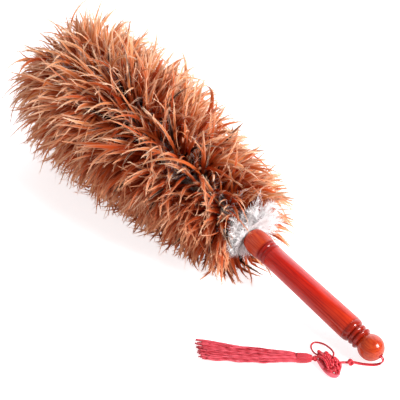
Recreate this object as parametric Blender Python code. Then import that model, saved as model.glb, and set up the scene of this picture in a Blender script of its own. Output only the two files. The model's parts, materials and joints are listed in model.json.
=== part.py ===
"""Feather duster lying at rest: a turned wooden handle, a cane core with rows of tied feathers,
and a knotted cord pendant with a tassel.

Metres, +Z up, floor at Z = 0. The duster's axis lies in the XZ plane and the ball end points to +X.
"Along" is the distance from the ball's centre towards the feather tip.
"""

from math import asin, cos, hypot, pi, radians, sin, sqrt

import bmesh
import bpy
from mathutils import Matrix, Vector

MM = 0.001

# The duster's axis: it rests on the ball and on the underside of the feathers.
AXIS_RISE = radians(9.0)
BALL_RADIUS = 12.7 * MM
BALL_X = 279.6 * MM

# Handle.
CORD_HOLE_RADIUS = 1.9 * MM
CORD_HOLE_MOUTH = 3.4 * MM
CORD_HOLE_BOTTOM = -1.0 * MM
CORD_HOLE_FLARE = -10.8 * MM
NECK_ANGLE = radians(42)
RIM_ALONG = 167.4 * MM
ROD_BORE_BOTTOM = 107.0 * MM
HANDLE_SEGMENTS = 28

# Turned details of the handle, as (radius, along) in millimetres. A bead is two ends and a swell.
NECK = (8.3, 10.0)
NECK_RING = ((9.7, 10.4), (9.6, 14.5), 1.6)
RING_GROOVE = (9.1, 15.0)
NECK_BEAD = ((9.7, 15.5), (9.8, 19.6), 1.3)
BEAD_GROOVE = (9.4, 20.2)
SHOULDER = [(10.7, 20.9), (11.7, 22.4), (12.3, 24.6), (12.1, 25.9)]
GRIP = [(12.4, 26.4), (12.2, 70.0), (11.9, 105.0), (11.8, 134.3), (11.2, 135.3)]
LOWER_COLLAR_BEAD = ((11.4, 136.0), (11.4, 139.8), 0.7)
COLLAR_BEAD_GROOVE = (11.1, 140.4)
UPPER_COLLAR_BEAD = ((11.5, 141.0), (11.5, 144.2), 0.7)
COLLAR = [
    (11.2, 144.8),
    (12.4, 145.5),
    (12.9, 149.0),
    (13.1, 154.0),
    (12.9, 158.5),
    (12.3, 162.5),
    (11.2, 165.8),
]
RIM_RADIUS = 9.8 * MM

# Cane core and the thread that ties the feathers to it.
ROD_RADIUS = 4.0 * MM
ROD_FROM, ROD_TO = 107.6 * MM, 490.0 * MM
BINDING_INNER, BINDING_OUTER = 4.3 * MM, 5.7 * MM
BINDING_LENGTH = 9.0 * MM
GAP = 0.4 * MM

# Feather head.
COURSES = 12
COURSE_BORE = 6.2 * MM
FIRST_ROOT, LAST_ROOT = 181.0 * MM, 482.0 * MM
HEAD_RADIUS = 98.5 * MM
HEAD_WIDEST = 450.0 * MM
HEAD_TIP = 578.0 * MM
HEAD_BACK = 148.0 * MM
BACK_ROUNDING = 37.0 * MM
NECK_REACH = 489.0 * MM
NECK_POWER = 1.64
HEAD_SEGMENTS = 24

# Ring of down between the handle and the first course.
RUFF_RADIUS = 36.0 * MM
RUFF_WAIST = 22.0 * MM
RUFF_BACK = [(14.4 * MM, RIM_ALONG + GAP), (20.0 * MM, 162.0 * MM), (33.0 * MM, 156.5 * MM)]
RUFF_RIM = 161.0 * MM

# Pendant. Places are millimetres from the point of the floor under the ball's centre.
STRAND_RADIUS = 0.65 * MM
STRAND_SPACING = 1.7 * MM
LOOP_RADIUS = 0.9 * MM
LINK_RADIUS = 1.1 * MM
LINK_ROUTE = [(-7.4, -25.2, 3.8), (-8.0, -26.1, 3.9), (-8.6, -27.0, 4.0)]
SMALL_KNOT_CENTRE, SMALL_KNOT_SIZES = (-4.6, -21.3, 3.5), (4.2, 3.4, 3.3)
SMALL_KNOT_HEADING = radians(-125)
CLOVERLEAF_CENTRE, CLOVERLEAF_SIZES = (-14.6, -37.4, 4.9), (14.2, 9.4, 4.8)
CLOVERLEAF_HEADING = radians(-16)
CLOVERLEAF_LOBES, LOBE_SIZE = 4, 0.06
SWING_AXIS = (14.3, 0.3)
BEND_AXIS = (-27.9, -43.9)
CAP_HEIGHT, CAP_SIZES = 4.6, (2.2, 2.2, 2.5)
LEVEL_POINTS = 6  # the strand points before the turn along the floor
STRAND_ROUTE = [
    (7.0, 0.0, 11.6),
    (9.8, 0.0, 11.2),
    (12.4, 0.1, 10.7),
    (14.3, 0.3, 9.5),
    (15.0, 0.4, 7.3),
    (14.6, 0.1, 4.8),
    (13.2, -1.0, 2.6),
    (11.0, -3.4, 1.2),
    (8.4, -6.4, 0.8),
    (5.4, -9.4, 0.8),
    (2.2, -12.4, 0.9),
    (-0.4, -15.3, 1.8),
    (-1.9, -17.5, 2.9),
]
REAR_LOOP_ROUTE = [
    (-20.2, -27.2, 6.4),
    (-22.6, -25.6, 5.6),
    (-26.6, -23.8, 4.4),
    (-31.0, -22.8, 3.2),
    (-36.4, -22.6, 2.1),
    (-41.0, -23.9, 1.3),
    (-44.3, -27.2, 1.1),
    (-44.0, -31.4, 1.1),
    (-41.0, -34.8, 1.5),
    (-36.8, -37.3, 2.6),
    (-32.6, -38.6, 3.8),
]
FRONT_BAND_ROUTE = [
    (-24.2, -47.6, 3.4),
    (-19.6, -49.2, 2.8),
    (-14.0, -50.1, 2.4),
    (-8.6, -49.4, 2.2),
    (-3.6, -46.9, 2.2),
    (-0.2, -43.0, 2.3),
    (0.9, -38.6, 2.6),
]
BAND_HALF_WIDTHS = (1.3, 2.2)  # at the ends and in the middle
BAND_HALF_HEIGHTS = (1.5, 2.0)
WRAP_ROUTE = [(-29.7, -46.2, 4.8), (-31.0, -47.6, 4.9), (-34.6, -51.6, 5.0), (-38.9, -56.2, 5.0)]
WRAP_RADII = [2.6, 4.3, 4.8, 4.6]
SKIRT_HALF_WIDTHS = [4.6, 5.5, 5.9, 6.8, 7.7, 8.4, 8.8]
SKIRT_HALF_HEIGHTS = [4.6, 5.2, 4.7, 4.0, 3.3, 2.8, 2.3]
SKIRT_ROUTE = [
    (-39.6, -57.0, 5.0),
    (-42.2, -59.4, 5.4),
    (-48.6, -65.6, 4.9),
    (-58.6, -75.4, 4.2),
    (-70.4, -86.6, 3.5),
    (-87.0, -101.4, 3.0),
    (-105.6, -117.8, 2.6),
]

# Local Z runs up the duster's axis from the ball to the tip, and local X points up from it.
AXIS_FRAME = Matrix.Translation((BALL_X, 0, BALL_RADIUS)) @ Matrix(
    (
        (sin(AXIS_RISE), 0, -cos(AXIS_RISE), 0),
        (0, 1, 0, 0),
        (cos(AXIS_RISE), 0, sin(AXIS_RISE), 0),
        (0, 0, 0, 1),
    )
)


# Small tools


def clear_scene():
    for item in list(bpy.data.objects):
        bpy.data.objects.remove(item)


def finish(name, slot, colour, roughness):
    """A plain material of its own for one kind of piece."""
    made = bpy.data.materials.get(name) or bpy.data.materials.new(name)
    made.use_nodes = True
    shader = made.node_tree.nodes["Principled BSDF"]
    shader.inputs["Base Color"].default_value = (*colour, 1)
    shader.inputs["Roughness"].default_value = roughness
    slot.materials.append(made)


def add_piece(name, mesh, parent):
    piece = bpy.data.objects.new(name, mesh)
    bpy.context.scene.collection.objects.link(piece)
    piece.parent = parent
    return piece


def add_empty(name, matrix):
    empty = bpy.data.objects.new(name, None)
    bpy.context.scene.collection.objects.link(empty)
    empty.matrix_world = matrix
    return empty


def mesh_of_rings(name, rings, start=None, end=None, loop=False):
    """A closed mesh through rings of points.

    Each end has a cap point or a flat cap, and a loop joins its last ring to its first instead.
    """
    made = bmesh.new()
    rows = [[made.verts.new(p) for p in ring] for ring in rings]
    count = len(rows[0])
    pairs = list(zip(rows, rows[1:] + rows[:1])) if loop else list(zip(rows, rows[1:]))
    for near, far in pairs:
        for i in range(count):
            j = (i + 1) % count
            made.faces.new((near[i], near[j], far[j], far[i]))
    for row, cap, turn in ((rows[0], start, -1), (rows[-1], end, 1)):
        if loop:
            continue
        if cap is None:
            made.faces.new(row[::turn])
            continue
        point = made.verts.new(cap)
        for i in range(count):
            made.faces.new((row[i], row[(i + 1) % count], point)[::turn])
    bmesh.ops.recalc_face_normals(made, faces=made.faces)
    mesh = bpy.data.meshes.new(name)
    made.to_mesh(mesh)
    made.free()
    mesh.shade_smooth()
    mesh.set_sharp_from_angle(angle=radians(35))
    return mesh


def turned(name, profile, segments):
    """A solid of revolution about local Z. The profile holds (radius, along) pairs.

    It starts and ends on the axis, or it is a closed outline that stays clear of the axis.
    """
    on_axis = profile[0][0] == 0
    inner = profile[1:-1] if on_axis else profile
    rings = [
        [
            (r * cos(2 * pi * k / segments), r * sin(2 * pi * k / segments), along)
            for k in range(segments)
        ]
        for r, along in inner
    ]
    if on_axis:
        return mesh_of_rings(name, rings, (0, 0, profile[0][1]), (0, 0, profile[-1][1]))
    return mesh_of_rings(name, rings, loop=True)


def arc(centre, radius, first, last, count):
    """Points of a circle's arc as (radius, along), with angles from the +along direction."""
    return [
        (
            centre[0] + radius * sin(first + (last - first) * k / (count - 1)),
            centre[1] + radius * cos(first + (last - first) * k / (count - 1)),
        )
        for k in range(count)
    ]


def bulge(start, end, height, count):
    """A shallow bead between two (radius, along) points, as a half wave."""
    return [
        (
            start[0] + (end[0] - start[0]) * k / (count - 1) + height * sin(pi * k / (count - 1)),
            start[1] + (end[1] - start[1]) * k / (count - 1),
        )
        for k in range(count)
    ]


def smooth_route(points, step):
    """Points about a step apart on a smooth curve through the given points, in millimetres."""
    way = [Vector(p) for p in points]
    way = [2 * way[0] - way[1], *way, 2 * way[-1] - way[-2]]
    fine = []
    for before, here, there, after in zip(way, way[1:], way[2:], way[3:]):
        for k in range(12):
            t = k / 12
            fine.append(
                0.5
                * (
                    2 * here
                    + (there - before) * t
                    + (2 * before - 5 * here + 4 * there - after) * t * t
                    + (3 * here - before - 3 * there + after) * t**3
                )
            )
    fine.append(way[-2])
    length = sum((b - a).length for a, b in zip(fine, fine[1:]))
    count = max(2, round(length / step))
    kept, walked, target = [fine[0]], 0.0, length / count
    for a, b in zip(fine, fine[1:]):
        piece = (b - a).length
        while walked + piece >= target * len(kept) and len(kept) < count:
            kept.append(a.lerp(b, (target * len(kept) - walked) / piece))
        walked += piece
    return [*kept, fine[-1]]


def from_ball(point):
    """A place given in millimetres from the floor under the ball, as a world point."""
    return Vector((BALL_X, 0, 0)) + Vector(point) * MM


# Handle and core


def handle_profile():
    """From the bottom of the cord hole, over the ball and grip, to the bottom of the rod bore."""
    mouth = pi - asin(CORD_HOLE_MOUTH / BALL_RADIUS)
    outline = [(0, CORD_HOLE_BOTTOM), (CORD_HOLE_RADIUS, CORD_HOLE_BOTTOM)]
    outline.append((CORD_HOLE_RADIUS, CORD_HOLE_FLARE))
    outline += arc((0, 0), BALL_RADIUS, mouth, NECK_ANGLE, 13)
    details = [NECK, *bulge(*NECK_RING, 5), RING_GROOVE, *bulge(*NECK_BEAD, 5), BEAD_GROOVE]
    details += [*SHOULDER, *GRIP, *bulge(*LOWER_COLLAR_BEAD, 4), COLLAR_BEAD_GROOVE]
    details += [*bulge(*UPPER_COLLAR_BEAD, 4), *COLLAR]
    outline += [(radius * MM, along * MM) for radius, along in details]
    outline += [(RIM_RADIUS, RIM_ALONG), (ROD_RADIUS + GAP, RIM_ALONG)]
    outline += [(ROD_RADIUS + GAP, ROD_BORE_BOTTOM), (0, ROD_BORE_BOTTOM)]
    return outline


def make_handle(axis):
    mesh = turned("handle", handle_profile(), HANDLE_SEGMENTS)
    finish("lacquered_wood", mesh, (0.42, 0.035, 0.015), 0.18)
    add_piece("handle", mesh, axis)


def make_core_rod(axis):
    edge = 0.8 * MM
    profile = [(0, ROD_FROM), (ROD_RADIUS - edge, ROD_FROM), (ROD_RADIUS, ROD_FROM + edge)]
    profile += [(ROD_RADIUS, ROD_TO - edge), (ROD_RADIUS - edge, ROD_TO), (0, ROD_TO)]
    mesh = turned("core_rod", profile, 16)
    finish("cane", mesh, (0.55, 0.38, 0.2), 0.6)
    add_piece("core_rod", mesh, axis)


def make_binding(name, middle, axis, length=BINDING_LENGTH):
    """A band of wound thread around the core, slightly barrelled."""
    half = length / 2
    profile = [(BINDING_INNER, middle - half), (BINDING_OUTER - 0.5 * MM, middle - half)]
    profile += [(BINDING_OUTER, middle), (BINDING_OUTER - 0.5 * MM, middle + half)]
    profile.append((BINDING_INNER, middle + half))
    mesh = turned(name, profile[::-1], 16)
    finish("binding_thread", mesh, (0.5, 0.33, 0.2), 0.8)
    add_piece(name, mesh, axis)


# Feather head


def head_radius(along):
    """Outer radius of the feathers: slim at the handle, full near the tip, domed at the end."""
    if along >= HEAD_TIP or along <= HEAD_BACK:
        return 0.0
    if along > HEAD_WIDEST:
        share = (along - HEAD_WIDEST) / (HEAD_TIP - HEAD_WIDEST)
        return HEAD_RADIUS * sqrt(1 - share * share)
    radius = HEAD_RADIUS * (1 - ((HEAD_WIDEST - along) / NECK_REACH) ** NECK_POWER)
    if along < HEAD_BACK + BACK_ROUNDING:
        share = (HEAD_BACK + BACK_ROUNDING - along) / BACK_ROUNDING
        radius *= sqrt(1 - share * share)
    return radius


def feather_slope(root):
    """How far along the axis a feather leans for each step outwards: back at the handle,
    nearly square to the core in the middle, and forwards at the tip."""
    u = (root - FIRST_ROOT) / (LAST_ROOT - FIRST_ROOT)
    return -0.46 + 1.29 * u - 0.35 * u * u + 0.47 * u**6


def reach(root, slope, turn):
    """Radius at which a feather from root meets the head's outer shape, or the floor."""
    radius = COURSE_BORE
    step = 0.25 * MM
    while head_radius(root + slope * (radius + step - COURSE_BORE)) > radius + step:
        radius += step
    fall = slope * sin(AXIS_RISE) + cos(turn) * cos(AXIS_RISE)
    if fall < 0:
        height = BALL_RADIUS + (root - slope * COURSE_BORE) * sin(AXIS_RISE)
        radius = min(radius, -height / fall)
    return radius


def head_point(along, radius, turn):
    """turn is the angle about the axis, with 0 pointing up."""
    return (radius * cos(turn), radius * sin(turn), along)


def course_outline(root, next_root, turn):
    """One angle's cross-section of a course: out along its back, over its rim, in along its front."""
    back, front = feather_slope(root), feather_slope(next_root)
    root_end = next_root - GAP - 0.1 * MM
    middle, middle_slope = (root + root_end) / 2, (back + front) / 2
    outline = []
    for start, slope, shares in (
        (root, back, (0, 0.5, 0.85, 1)),
        (middle, middle_slope, (1,)),
        (root_end, front, (1, 0.85, 0.5, 0)),
    ):
        far = reach(start, slope, turn)
        for share in shares:
            radius = COURSE_BORE + share * (far - COURSE_BORE)
            outline.append(head_point(start + slope * (radius - COURSE_BORE), radius, turn))
    return outline


def make_feather_course(number, root, next_root, axis):
    name = f"feather_course_{number:02d}"
    turns = [pi + 2 * pi * k / HEAD_SEGMENTS for k in range(HEAD_SEGMENTS)]
    mesh = mesh_of_rings(name, [course_outline(root, next_root, t) for t in turns], loop=True)
    finish("rust_feather", mesh, (0.36, 0.13, 0.05), 0.55)
    add_piece(name, mesh, axis)


def make_tip_tuft(axis):
    """The last row, which closes over the end of the core and fills the dome."""
    slope = feather_slope(LAST_ROOT)
    far = reach(LAST_ROOT, slope, 0)
    start = LAST_ROOT + slope * (far - COURSE_BORE)
    profile = [(0, ROD_TO + GAP), (COURSE_BORE, ROD_TO + GAP), (COURSE_BORE, LAST_ROOT)]
    middle = 0.5 * (COURSE_BORE + far)
    profile.append((middle, LAST_ROOT + slope * (middle - COURSE_BORE)))
    for k in range(7):
        along = start + (HEAD_TIP - start) * sin(0.5 * pi * k / 7)
        profile.append((head_radius(along), along))
    profile.append((0, HEAD_TIP))
    mesh = turned("tip_tuft", profile[::-1], HEAD_SEGMENTS)
    finish("rust_feather", mesh, (0.36, 0.13, 0.05), 0.55)
    add_piece("tip_tuft", mesh, axis)


def make_down_ruff(axis):
    """The collar of white down that hides the joint between feathers and handle."""
    slope = feather_slope(FIRST_ROOT)
    front = FIRST_ROOT - GAP - 0.2 * MM
    profile = [(COURSE_BORE, RIM_ALONG + GAP), *RUFF_BACK, (RUFF_RADIUS, RUFF_RIM)]
    for radius in (RUFF_RADIUS, RUFF_WAIST, COURSE_BORE):
        profile.append((radius, front + slope * (radius - COURSE_BORE)))
    mesh = turned("down_ruff", profile[::-1], HEAD_SEGMENTS)
    finish("white_down", mesh, (0.8, 0.78, 0.76), 0.8)
    add_piece("down_ruff", mesh, axis)


def make_head(axis):
    roots = [FIRST_ROOT + (LAST_ROOT - FIRST_ROOT) * k / COURSES for k in range(COURSES + 1)]
    make_down_ruff(axis)
    make_binding("ruff_binding", RIM_ALONG + 6.6 * MM, axis, 10 * MM)
    for number, (root, next_root) in enumerate(zip(roots, roots[1:]), 1):
        make_feather_course(number, root, next_root, axis)
        make_binding(f"course_binding_{number:02d}", (root + next_root) / 2, axis)
    make_tip_tuft(axis)
    make_binding("tip_binding", LAST_ROOT + 3.6 * MM, axis, 6.4 * MM)


# Pendant


def local_to(empty, point):
    return from_ball(point) - empty.matrix_world.translation


def add_tube(name, route, radius, material, colour, empty):
    """A round cord along a smooth curve through the route's points."""
    points = smooth_route(route, 2.4 * 2 * radius / MM)
    curve = bpy.data.curves.new(name, "CURVE")
    curve.dimensions = "3D"
    curve.bevel_depth = radius
    curve.bevel_resolution = 2
    curve.use_fill_caps = True
    spline = curve.splines.new("POLY")
    spline.points.add(len(points) - 1)
    for item, point in zip(spline.points, points):
        item.co = (*local_to(empty, point), 1)
    finish(material, curve, colour, 0.4)
    add_piece(name, curve, empty)


def beside(route, offset):
    """The same route moved sideways, level with the floor, by offset millimetres."""
    moved = []
    for k, point in enumerate(route):
        before, after = route[max(k - 1, 0)], route[min(k + 1, len(route) - 1)]
        run = (after[0] - before[0], after[1] - before[1])
        if k < LEVEL_POINTS:
            run = (1.0, 0.0)
        size = hypot(*run)
        across = (-run[1] / size, run[0] / size)
        if across[1] < 0:
            across = (-across[0], -across[1])
        moved.append((point[0] + offset * across[0], point[1] + offset * across[1], point[2]))
    return moved


def add_bead(name, centre, sizes, heading, material, colour, empty, lobes=0, lobe_size=0.0):
    """A rounded knot body: a flattened ball, with soft lobes around it when lobes isn't 0."""
    made = bmesh.new()
    bmesh.ops.create_uvsphere(made, u_segments=20 if lobes else 14, v_segments=10, radius=1)
    turn = Matrix.Rotation(heading, 3, "Z")
    for vertex in made.verts:
        x, y, z = vertex.co
        swell = 1.0
        if lobes and hypot(x, y) > 1e-6:
            flat = Vector((x, y)).normalized()
            angle = Vector((1, 0)).angle_signed(flat)
            swell += lobe_size * cos(lobes * angle) * hypot(x, y)
        scaled = Vector((x * sizes[0] * swell, y * sizes[1] * swell, z * sizes[2]))
        vertex.co = local_to(empty, centre) + turn @ scaled * MM
    mesh = bpy.data.meshes.new(name)
    made.to_mesh(mesh)
    made.free()
    mesh.shade_smooth()
    finish(material, mesh, colour, 0.45)
    add_piece(name, mesh, empty)


def add_loft(name, route, half_widths, half_heights, sides, material, colour, empty):
    """A soft body through oval sections that stay level across, one at each route point."""
    places = [Vector(p) for p in route]
    rings = []
    for k, here in enumerate(places):
        run = places[min(k + 1, len(places) - 1)] - places[max(k - 1, 0)]
        run.normalize()
        across = run.cross(Vector((0, 0, 1))).normalized()
        above = across.cross(run)
        ring = []
        for i in range(sides):
            turn = 2 * pi * i / sides
            offset = across * half_widths[k] * cos(turn) + above * half_heights[k] * sin(turn)
            ring.append(local_to(empty, here + offset))
        rings.append(ring)
    mesh = mesh_of_rings(name, rings)
    finish(material, mesh, colour, 0.45)
    add_piece(name, mesh, empty)


def make_cord_anchor(axis):
    """The glued knot of the cord's two ends at the bottom of the ball's hole."""
    edge = 0.5 * MM
    low, high = -5.6 * MM, CORD_HOLE_BOTTOM - GAP
    radius = CORD_HOLE_RADIUS - 0.3 * MM
    profile = [(0, low), (radius - edge, low), (radius, low + edge), (radius, high - edge)]
    profile += [(radius - edge, high), (0, high)]
    mesh = turned("cord_anchor_knot", profile, 12)
    finish("crimson_cord", mesh, (0.5, 0.02, 0.04), 0.45)
    add_piece("cord_anchor_knot", mesh, axis)


def make_pendant(swing, bend):
    crimson, rose = (0.5, 0.02, 0.04), (0.62, 0.05, 0.08)
    cord = ("crimson_cord", crimson, swing)
    spread = STRAND_SPACING / 2 / MM
    for name, side in (("cord_strand_left", -spread), ("cord_strand_right", spread)):
        add_tube(name, beside(STRAND_ROUTE, side), STRAND_RADIUS, *cord)
    add_bead("small_knot", SMALL_KNOT_CENTRE, SMALL_KNOT_SIZES, SMALL_KNOT_HEADING, *cord)
    add_tube("link_cord", LINK_ROUTE, LINK_RADIUS, *cord)
    knot = ("cloverleaf_knot", CLOVERLEAF_CENTRE, CLOVERLEAF_SIZES, CLOVERLEAF_HEADING)
    add_bead(*knot, *cord, lobes=CLOVERLEAF_LOBES, lobe_size=LOBE_SIZE)
    add_tube("rear_knot_loop", REAR_LOOP_ROUTE, LOOP_RADIUS, *cord)

    band = smooth_route(FRONT_BAND_ROUTE, 4)
    swells = [sin(pi * k / (len(band) - 1)) for k in range(len(band))]
    widths, heights = (
        [at_ends + (in_middle - at_ends) * swell for swell in swells]
        for at_ends, in_middle in (BAND_HALF_WIDTHS, BAND_HALF_HEIGHTS)
    )
    add_loft("front_knot_band", band, widths, heights, 10, "satin_band", rose, swing)

    cap_centre = (*BEND_AXIS, CAP_HEIGHT)
    add_bead("tassel_cap", cap_centre, CAP_SIZES, 0, "satin_band", rose, bend)
    add_loft("tassel_wrap", WRAP_ROUTE, WRAP_RADII, WRAP_RADII, 16, "satin_wrap", rose, bend)
    sizes = (SKIRT_HALF_WIDTHS, SKIRT_HALF_HEIGHTS)
    add_loft("tassel_skirt", SKIRT_ROUTE, *sizes, 16, "tassel_thread", rose, bend)


def build():
    clear_scene()
    axis = add_empty("duster_axis", AXIS_FRAME)
    swing = add_empty("tassel_swing_axis", Matrix.Translation(from_ball((*SWING_AXIS, 0))))
    bend = add_empty("tassel_bend_axis", Matrix.Translation(from_ball((*BEND_AXIS, 0))))
    make_handle(axis)
    make_core_rod(axis)
    make_cord_anchor(axis)
    make_head(axis)
    make_pendant(swing, bend)


build()
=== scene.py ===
"""Looks of the feather duster: every feather, the lacquered handle, the satin cord with its knots
and tassel, a pale floor, soft studio light and the camera.

Metres, +Z up, floor at Z = 0. "Along" is the distance from the centre of the handle's ball towards
the feather tip, and "turn" is the angle about the duster's axis, with 0 pointing up.
"""

import json
from math import asin, cos, pi, radians, sin, sqrt

import bpy
import numpy as np
from mathutils import Matrix, Vector


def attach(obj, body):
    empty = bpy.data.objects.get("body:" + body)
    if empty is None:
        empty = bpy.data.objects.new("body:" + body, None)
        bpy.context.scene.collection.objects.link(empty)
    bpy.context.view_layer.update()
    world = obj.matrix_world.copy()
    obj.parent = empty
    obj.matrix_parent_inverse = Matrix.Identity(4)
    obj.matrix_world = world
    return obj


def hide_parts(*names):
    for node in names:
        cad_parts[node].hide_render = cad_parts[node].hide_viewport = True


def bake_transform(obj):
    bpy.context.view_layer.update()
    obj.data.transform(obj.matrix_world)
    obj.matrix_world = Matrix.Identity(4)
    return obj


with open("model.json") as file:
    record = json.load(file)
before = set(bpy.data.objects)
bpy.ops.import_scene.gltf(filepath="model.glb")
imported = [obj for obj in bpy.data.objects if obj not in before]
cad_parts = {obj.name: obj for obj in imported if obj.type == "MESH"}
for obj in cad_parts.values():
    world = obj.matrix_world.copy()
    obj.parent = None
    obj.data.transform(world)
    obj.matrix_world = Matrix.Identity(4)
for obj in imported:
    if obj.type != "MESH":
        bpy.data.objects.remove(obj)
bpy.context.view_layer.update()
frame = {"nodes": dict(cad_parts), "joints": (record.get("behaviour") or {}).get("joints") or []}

MM = 0.001

# The duster's axis. The tassel's swing joint fixes where the ball stands.
AXIS_RISE = radians(9.0)
BALL_RADIUS = 12.7 * MM
SWING_AXIS = (14.3, 0.3)
BEND_AXIS = (-27.9, -43.9)
SWING_JOINT = next(j for j in frame["joints"] if j["name"] == "tassel_swing")
BALL_FOOT = np.array(SWING_JOINT["pos_m"][:2] + [0.0]) - np.array((*SWING_AXIS, 0.0)) * MM
BALL_CENTRE = BALL_FOOT + np.array((0, 0, BALL_RADIUS))
UP = np.array((sin(AXIS_RISE), 0, cos(AXIS_RISE)))
SIDE = np.array((0.0, 1.0, 0.0))
TIPWARD = np.array((-cos(AXIS_RISE), 0, sin(AXIS_RISE)))
AXES = Matrix(np.stack((UP, SIDE, TIPWARD), 1).tolist()).to_4x4()
AXIS_FRAME = Matrix.Translation(BALL_CENTRE) @ AXES

# Camera.
VIEW_AZIMUTH = radians(50.6)
VIEW_ELEVATION = radians(37.04)
VIEW_TARGET = (0.0126, 0.0162, 0.0187)
VIEW_DISTANCE = 0.95
LENS_MM = 76.5

# Light.
KEY_DIRECTION = (0.79, 0.30, 0.53)
KEY_POWER = 35.0
KEY_DISTANCE, KEY_WIDTH, KEY_HEIGHT = 1.7, 0.5, 0.6
KEY_TARGET = (0, 0, 0.03)
AMBIENT = 0.29
# Two glows in the world: direction, where each begins and is full (as a cosine), strength.
GLOWS = (((-0.42, 0.84, 0.35), 0.60, 0.98, 3.3), ((-0.30, -0.86, 0.40), 0.3, 0.95, 0.65))
WARM, COOL = (1.0, 0.84, 0.74), (0.95, 0.94, 1.0)  # the dim light and the glows
FLOOR_COLOUR, FLOOR_GLOW_COLOUR = (0.62, 0.61, 0.615), (1.0, 0.975, 0.985)
FLOOR_GLOW = 0.76
FLOOR_SIZE = 6.0

# Handle, as (radius, along) in millimetres. A bead is two ends and a swell.
CORD_HOLE_RADIUS, CORD_HOLE_MOUTH = 1.9 * MM, 3.4 * MM
CORD_HOLE_BOTTOM, CORD_HOLE_FLARE = -1.0 * MM, -10.8 * MM
NECK_ANGLE = radians(42)
RIM_RADIUS, RIM_ALONG = 9.8 * MM, 167.4 * MM
ROD_BORE_RADIUS, ROD_BORE_BOTTOM = 4.4 * MM, 107.0 * MM
HANDLE_SEGMENTS = 96
NECK = (8.3, 10.0)
NECK_RING = ((9.7, 10.4), (9.6, 14.5), 1.6)
RING_GROOVE = (9.1, 15.0)
NECK_BEAD = ((9.7, 15.5), (9.8, 19.6), 1.3)
BEAD_GROOVE = (9.4, 20.2)
SHOULDER = [(10.7, 20.9), (11.7, 22.4), (12.3, 24.6), (12.1, 25.9)]
GRIP = [(12.4, 26.4), (12.2, 70.0), (11.9, 105.0), (11.8, 134.3), (11.2, 135.3)]
LOWER_COLLAR_BEAD = ((11.4, 136.0), (11.4, 139.8), 0.7)
COLLAR_BEAD_GROOVE = (11.1, 140.4)
UPPER_COLLAR_BEAD = ((11.5, 141.0), (11.5, 144.2), 0.7)
COLLAR_STEP = (11.2, 144.8)
COLLAR = [(12.4, 145.5), (12.9, 149.0), (13.1, 154.0), (12.9, 158.5), (12.3, 162.5), (11.2, 165.8)]

# Feather head.
COURSES = 12
CORE_RADIUS = 6.2 * MM
FIRST_ROOT, LAST_ROOT = 181.0 * MM, 482.0 * MM
HEAD_RADIUS = 98.5 * MM
HEAD_WIDEST = 450.0 * MM
HEAD_TIP = 547.0 * MM
HEAD_BACK = 131.0 * MM
BACK_ROUNDING = 48.0 * MM
NECK_REACH = 489.0 * MM
NECK_POWER = 1.64
COLLAR_CLEAR_ALONG, COLLAR_CLEAR_RADII = 178.0 * MM, (20.0 * MM, 42.0 * MM)  # at the sides, on top
DOWN_LEAN = 0.55
STEPS = 18
VANE_FROM = 0.16
QUILL_RADIUS, QUILL_EDGE = 0.36 * MM, 0.35  # QUILL_EDGE is the quill's place in the vane's colours
FLOOR_GAP = 0.5 * MM
FRINGE, FRINGE_LENGTH, FRINGE_WIDTH = 14, (4 * MM, 9 * MM), 0.34 * MM  # loose barbs per feather
RIM_SPACING = 1.7 * MM  # between neighbours in a row, measured at its outer rim
TIP_FEATHERS, TIP_SPREAD = 380, radians(62)
OUTER_SHARE = 0.64  # feathers that reach the outer surface
# The feathers fall away to both sides of a line that wanders along the top.
PARTING_TURN = radians(-21)
PARTING_WAVES = ((0.16, 97.0 * MM, 0.8), (0.12, 43.0 * MM, 2.0))  # swing, length, phase
PARTING_WIDTH = radians(30)
PARTING_LEAN = 0.50
PARTING_MIX = 0.26  # how far feathers of one side start across the line
# Short upright feathers fill the line: its half width, their share, reach, and a lighter tone that
# paints light into the shaded line.
FILLER_WIDTH, FILLER_SHARE, FILLER_REACH, FILLER_PAINTED_LIGHT = 0.46, 0.66, 0.88, 0.2
# Feathers are wilder, limper, shorter and narrower at the line than away from it.
LINE_TURNS = (0.3, 0.8)
LIMP_FACTORS, CURLS, LONGEST, WIDTH_FACTORS = (1.35, 1.0), (15.0, 9.0), (80, 125), (0.68, 1.0)
JITTER_TURNS, JITTERS = (0.4, 0.8), (0.26, 0.13)
FILLER_LONGEST = 115
WIDTHS, WISP_WIDTHS = (1.8, 3.3), (1.2, 1.8)
WISP_REACH = (1.04, 1.20)  # wisps are thin feathers that stick out
WISP_ALONG, WISP_SHARES = (0.40, LAST_ROOT), (0.05, 0.12)
LIGHTER_ALONG, LIGHTER = (FIRST_ROOT, 0.24, 0.36, LAST_ROOT), (0.02, -0.10, 0.0, 0.40)
DARK_SHARE = 0.03
ROOT_PLUME, SPOT_PLUME = (1, 5), (6, 14)  # where down starts and ends, in steps of its feather
LIMPNESS = (12.0, 27.0)  # bend per metre under the feather's own weight
FIT_ROUNDS = 5
# Down plumes: number of barbs, their length and width, and how far they spread.
ROOT_BARBS, RING_BARBS = (16, 9 * MM, 0.22 * MM, 1.0), (36, 13 * MM, 0.25 * MM, 0.5)
RING_PLUMES, RING_LEAN, RING_LENGTHS, RING_STEM_RADIUS = 260, (-0.34, -0.22), (24, 42), 5.0 * MM
# Feathers reach further on one side: extra shares along the axis, the reverse across from it.
# This side also faces the lights, so feather tones are painted lighter here and darker across from it.
HEAVY_AND_LIT_TURN = radians(58)
TOP_TURN = radians(5)  # the first row reaches back everywhere but here
HEAVY_ALONG = (181.0 * MM, 330.0 * MM, 430.0 * MM, 500.0 * MM)
HEAVY_SHARE = (0.07, 0.03, -0.03, 0.10)

# Cord and tassel, in millimetres from the point of the floor under the ball's centre.
STRAND_RADIUS, STRAND_OFFSET = 0.65, 0.85
LEVEL_POINTS = 6  # the strand points before the turn along the floor
LOOP_RADIUS = 0.9
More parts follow.
